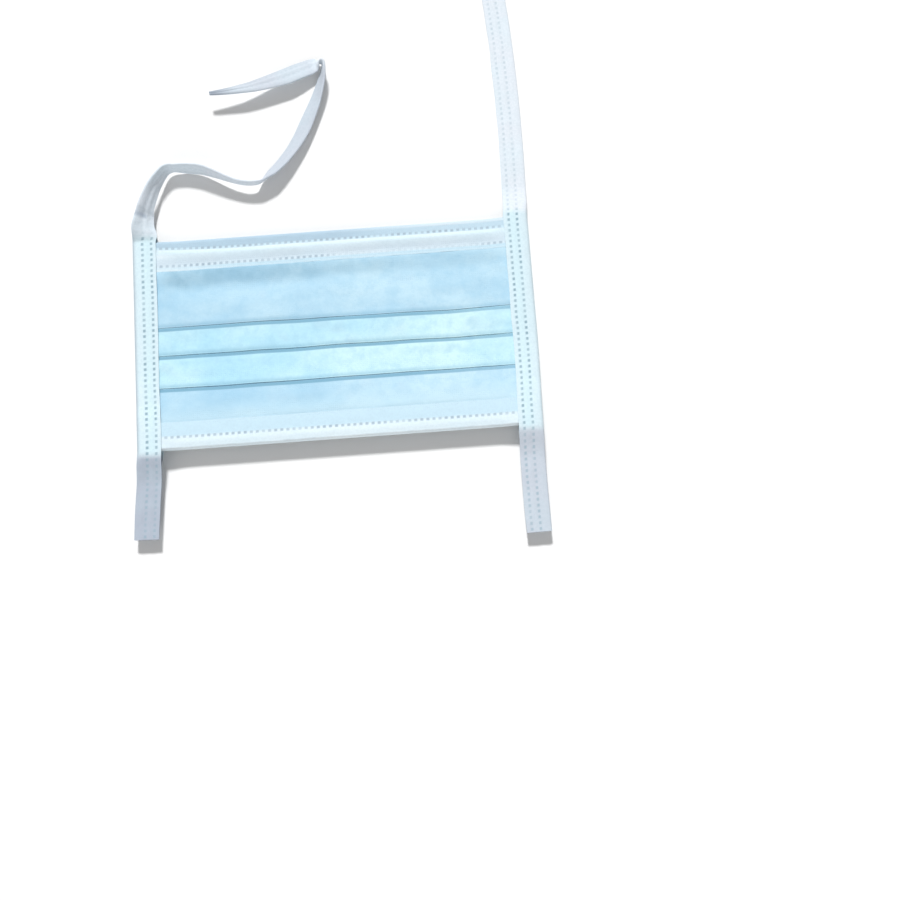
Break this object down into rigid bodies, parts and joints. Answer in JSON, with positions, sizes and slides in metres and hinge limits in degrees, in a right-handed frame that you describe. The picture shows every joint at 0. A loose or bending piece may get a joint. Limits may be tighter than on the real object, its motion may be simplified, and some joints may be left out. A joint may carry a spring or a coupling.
{
  "type": "tie-on face mask",
  "caption": "Pleated cloth face mask lying flat, with a nose wire hem and side tapes that run on as ties.",
  "frame": {"origin": "centre of the body's back, on the surface that the mask lies on", "axes": "+X along the body's width to the right of the picture, +Y from the chin edge to the nose edge, +Z out of the front face"},
  "size_m": [0.1786, 0.3452, 0.0111],
  "materials": {
    "outer_cloth": "matte blue nonwoven with a fine embossed dot pattern",
    "inner_cloth": "matte white nonwoven",
    "tape": "matte white nonwoven tape with weld dots",
    "wire": "plain, sealed in the hem"
  },
  "bodies": {
    "root": {"outer_ply": "outer_cloth", "inner_ply": "inner_cloth", "nose_wire": "wire", "left_tape": "tape", "right_tape": "tape"}
  },
  "joints": []
}
